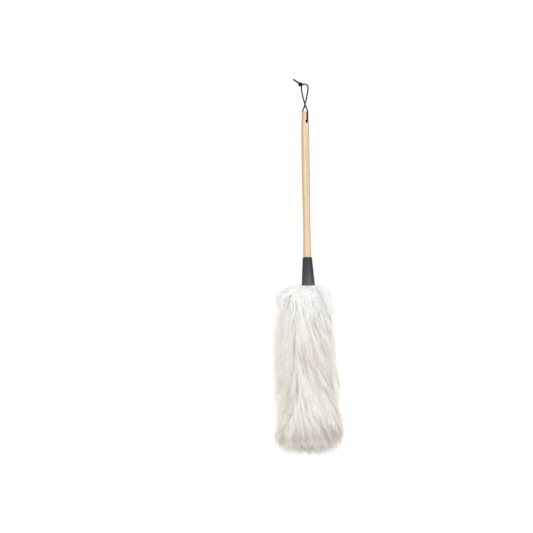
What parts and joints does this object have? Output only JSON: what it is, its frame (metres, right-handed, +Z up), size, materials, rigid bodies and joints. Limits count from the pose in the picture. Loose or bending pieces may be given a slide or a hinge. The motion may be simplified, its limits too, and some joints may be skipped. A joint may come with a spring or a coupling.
{
  "type": "lambswool duster",
  "caption": "Lambswool duster: a turned wooden handle with a dark leather collar, a long white sheepskin head and a black cord loop to hang it by.",
  "frame": {"origin": "inside top of the hanging loop, where a peg carries it", "axes": "+Z up along the handle, towards the loop; -Y is the front; the peg runs along Y"},
  "size_m": [0.126, 0.126, 0.6757],
  "materials": {
    "handle_wood": "satin",
    "collar_leather": "satin",
    "dome_tack": "satin",
    "flat_tacks": "satin",
    "hide": "matte",
    "wool": "matte",
    "cord": "satin"
  },
  "bodies": {
    "hanging_loop": {"hanging_cord": "cord", "cord_knot": "cord"},
    "duster": {"handle": "handle_wood", "collar": "collar_leather", "collar_tack": "dome_tack", "pelt_strip": "hide", "strip_tacks": "flat_tacks", "tip_patch": "hide", "tip_tack": "flat_tacks", "fleece": "wool"}
  },
  "joints": [
    {"name": "duster_swing", "type": "hinge", "parent": "hanging_loop", "child": "duster", "pos_m": [0, 0, -0.066], "axis": [0.5, -0.866, 0], "range_deg": [-150, 150]}
  ]
}
